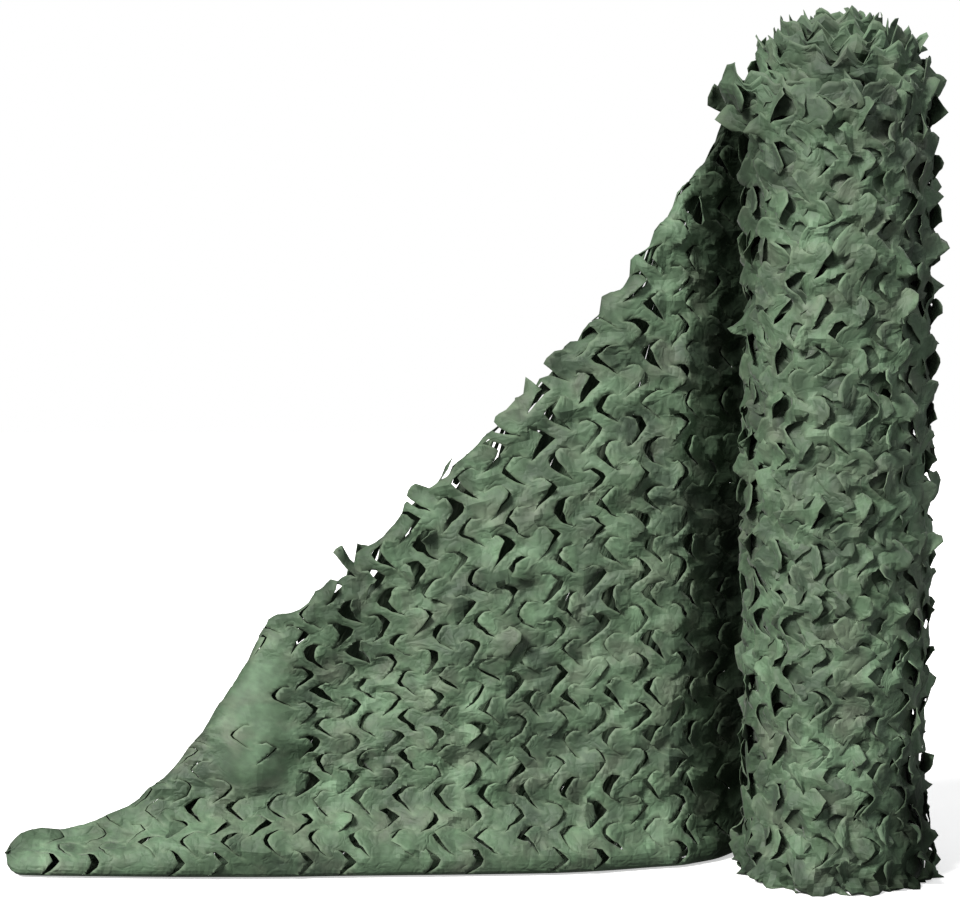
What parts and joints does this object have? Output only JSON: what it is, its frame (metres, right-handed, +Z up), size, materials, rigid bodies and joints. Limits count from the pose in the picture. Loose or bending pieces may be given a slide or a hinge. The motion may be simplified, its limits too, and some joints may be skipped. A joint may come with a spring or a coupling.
{
  "type": "rolled camouflage netting",
  "caption": "A bulk roll of dark green die-cut camouflage netting standing on end, its loose end drawn out along the floor under a slanting folded top edge.",
  "frame": {"origin": "middle of the flat foot of the roll, on the floor", "axes": "+X from the tail of the loose end to the roll, +Y away from the side with the lifted leaves, +Z up along the roll"},
  "size_m": [1.6379, 0.3494, 1.528],
  "materials": {
    "net_cloth": "woven polyester, dull, one dark green all over, die-cut into curled leaf shapes"
  },
  "bodies": {
    "root": {"net_roll": "net_cloth", "loose_end": "net_cloth"}
  },
  "joints": []
}
